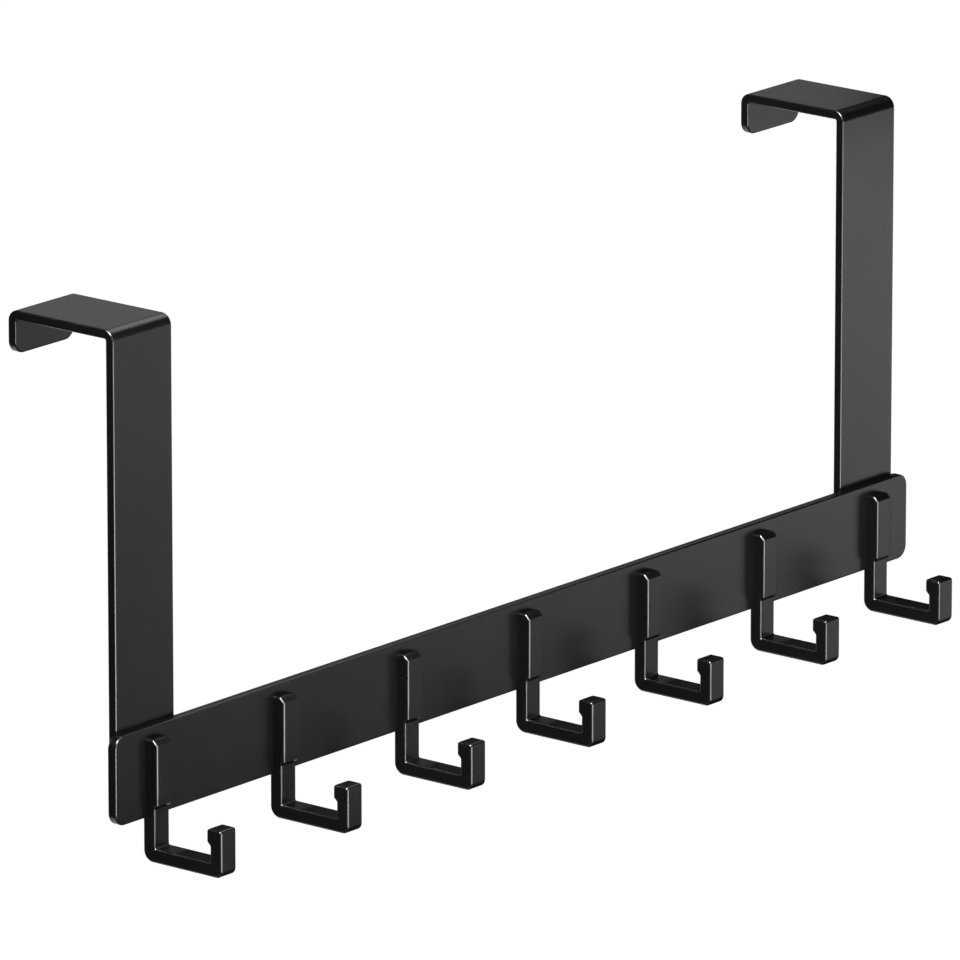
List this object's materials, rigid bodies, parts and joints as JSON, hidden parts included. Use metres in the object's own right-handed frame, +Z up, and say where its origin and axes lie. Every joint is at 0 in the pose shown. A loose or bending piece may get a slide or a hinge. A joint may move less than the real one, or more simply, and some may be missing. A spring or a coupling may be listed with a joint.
{
  "type": "over door hook",
  "caption": "Rail of square L-shaped hooks in black coated steel, hung over a door by two bent flat straps.",
  "frame": {"origin": "on the door's top front edge, midway between the straps: the straps' undersides lie at Z = 0 and the backs of their drops at Y = 0", "axes": "+X along the rail, to the right as seen from the front; +Y into the door, away from the hooks; +Z up"},
  "size_m": [0.43, 0.0821, 0.1839],
  "materials": {
    "coated_steel": "satin black powder coat",
    "screw_steel": "black oxide"
  },
  "bodies": {
    "root": {"rail": "coated_steel", "left_strap": "coated_steel", "right_strap": "coated_steel", "hook_1": "coated_steel", "hook_2": "coated_steel", "hook_3": "coated_steel", "hook_4": "coated_steel", "hook_5": "coated_steel", "hook_6": "coated_steel", "hook_7": "coated_steel", "hook_screws": "screw_steel", "strap_screws": "screw_steel"}
  },
  "joints": []
}
